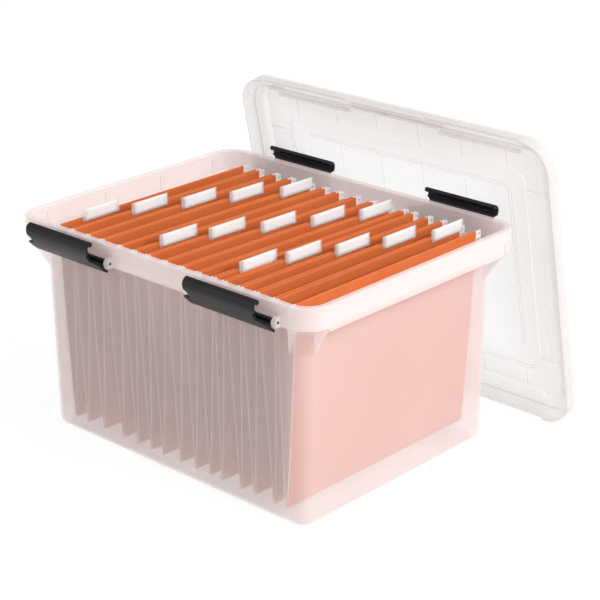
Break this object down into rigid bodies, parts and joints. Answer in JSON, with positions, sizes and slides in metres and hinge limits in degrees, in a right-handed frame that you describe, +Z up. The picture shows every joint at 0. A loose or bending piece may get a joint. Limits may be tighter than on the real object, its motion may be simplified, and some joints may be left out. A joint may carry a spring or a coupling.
{
  "type": "portable file box",
  "caption": "Clear moulded file box standing open, with hanging folders on its rails, swing latches, and its lift-off lid leaning behind it.",
  "frame": {"origin": "middle of the bin's base, on the surface it stands on", "axes": "+X along the latch sides, +Y towards the side where the lid leans, +Z up"},
  "size_m": [0.4955, 0.4565, 0.3644],
  "materials": {
    "clear_plastic": "frosted translucent moulded plastic, light satin",
    "lid_plastic": "clear to frosted translucent moulded plastic",
    "latch_plastic": "satin black moulded plastic",
    "folder_card": "matt orange folder card",
    "rod_plastic": "white plastic strip",
    "tab_plastic": "clear plastic tab round a blank white card"
  },
  "bodies": {
    "bin": {"base_bin": "clear_plastic"},
    "lid": {"lid": "lid_plastic"},
    "latch_front_left": {"latch_front_left": "latch_plastic"},
    "latch_front_right": {"latch_front_right": "latch_plastic"},
    "latch_rear_left": {"latch_rear_left": "latch_plastic"},
    "latch_rear_right": {"latch_rear_right": "latch_plastic"},
    "folder_01": {"folder_01": "folder_card", "hanger_rods_01": "rod_plastic", "tab_01": "tab_plastic"},
    "folder_02": {"folder_02": "folder_card", "hanger_rods_02": "rod_plastic", "tab_02": "tab_plastic"},
    "folder_03": {"folder_03": "folder_card", "hanger_rods_03": "rod_plastic", "tab_03": "tab_plastic"},
    "folder_04": {"folder_04": "folder_card", "hanger_rods_04": "rod_plastic", "tab_04": "tab_plastic"},
    "folder_05": {"folder_05": "folder_card", "hanger_rods_05": "rod_plastic", "tab_05": "tab_plastic"},
    "folder_06": {"folder_06": "folder_card", "hanger_rods_06": "rod_plastic", "tab_06": "tab_plastic"},
    "folder_07": {"folder_07": "folder_card", "hanger_rods_07": "rod_plastic", "tab_07": "tab_plastic"},
    "folder_08": {"folder_08": "folder_card", "hanger_rods_08": "rod_plastic", "tab_08": "tab_plastic"},
    "folder_09": {"folder_09": "folder_card", "hanger_rods_09": "rod_plastic", "tab_09": "tab_plastic"},
    "folder_10": {"folder_10": "folder_card", "hanger_rods_10": "rod_plastic", "tab_10": "tab_plastic"},
    "folder_11": {"folder_11": "folder_card", "hanger_rods_11": "rod_plastic", "tab_11": "tab_plastic"},
    "folder_12": {"folder_12": "folder_card", "hanger_rods_12": "rod_plastic", "tab_12": "tab_plastic"},
    "folder_13": {"folder_13": "folder_card", "hanger_rods_13": "rod_plastic", "tab_13": "tab_plastic"},
    "folder_14": {"folder_14": "folder_card", "hanger_rods_14": "rod_plastic", "tab_14": "tab_plastic"},
    "folder_15": {"folder_15": "folder_card", "hanger_rods_15": "rod_plastic", "tab_15": "tab_plastic"}
  },
  "joints": [
    {"name": "latch_front_left_hinge", "type": "hinge", "parent": "bin", "child": "latch_front_left", "pos_m": [-0.125, -0.18, 0.241], "axis": [-1, 0, 0], "range_deg": [0, 33]},
    {"name": "latch_front_right_hinge", "type": "hinge", "parent": "bin", "child": "latch_front_right", "pos_m": [0.125, -0.18, 0.241], "axis": [-1, 0, 0], "range_deg": [0, 33]},
    {"name": "latch_rear_left_hinge", "type": "hinge", "parent": "bin", "child": "latch_rear_left", "pos_m": [-0.125, 0.18, 0.241], "axis": [1, 0, 0], "range_deg": [0, 33]},
    {"name": "latch_rear_right_hinge", "type": "hinge", "parent": "bin", "child": "latch_rear_right", "pos_m": [0.125, 0.18, 0.241], "axis": [1, 0, 0], "range_deg": [0, 33]},
    {"name": "lid_lift", "type": "slide", "parent": "bin", "child": "lid", "axis": [0, 0, 1], "range_m": [0, 0.3]},
    {"name": "folder_01_lift", "type": "slide", "parent": "bin", "child": "folder_01", "axis": [0, 0, 1], "range_m": [0, 0.25]},
    {"name": "folder_02_lift", "type": "slide", "parent": "bin", "child": "folder_02", "axis": [0, 0, 1], "range_m": [0, 0.25]},
    {"name": "folder_03_lift", "type": "slide", "parent": "bin", "child": "folder_03", "axis": [0, 0, 1], "range_m": [0, 0.25]},
    {"name": "folder_04_lift", "type": "slide", "parent": "bin", "child": "folder_04", "axis": [0, 0, 1], "range_m": [0, 0.25]},
    {"name": "folder_05_lift", "type": "slide", "parent": "bin", "child": "folder_05", "axis": [0, 0, 1], "range_m": [0, 0.25]},
    {"name": "folder_06_lift", "type": "slide", "parent": "bin", "child": "folder_06", "axis": [0, 0, 1], "range_m": [0, 0.25]},
    {"name": "folder_07_lift", "type": "slide", "parent": "bin", "child": "folder_07", "axis": [0, 0, 1], "range_m": [0, 0.25]},
    {"name": "folder_08_lift", "type": "slide", "parent": "bin", "child": "folder_08", "axis": [0, 0, 1], "range_m": [0, 0.25]},
    {"name": "folder_09_lift", "type": "slide", "parent": "bin", "child": "folder_09", "axis": [0, 0, 1], "range_m": [0, 0.25]},
    {"name": "folder_10_lift", "type": "slide", "parent": "bin", "child": "folder_10", "axis": [0, 0, 1], "range_m": [0, 0.25]},
    {"name": "folder_11_lift", "type": "slide", "parent": "bin", "child": "folder_11", "axis": [0, 0, 1], "range_m": [0, 0.25]},
    {"name": "folder_12_lift", "type": "slide", "parent": "bin", "child": "folder_12", "axis": [0, 0, 1], "range_m": [0, 0.25]},
    {"name": "folder_13_lift", "type": "slide", "parent": "bin", "child": "folder_13", "axis": [0, 0, 1], "range_m": [0, 0.25]},
    {"name": "folder_14_lift", "type": "slide", "parent": "bin", "child": "folder_14", "axis": [0, 0, 1], "range_m": [0, 0.25]},
    {"name": "folder_15_lift", "type": "slide", "parent": "bin", "child": "folder_15", "axis": [0, 0, 1], "range_m": [0, 0.25]}
  ]
}
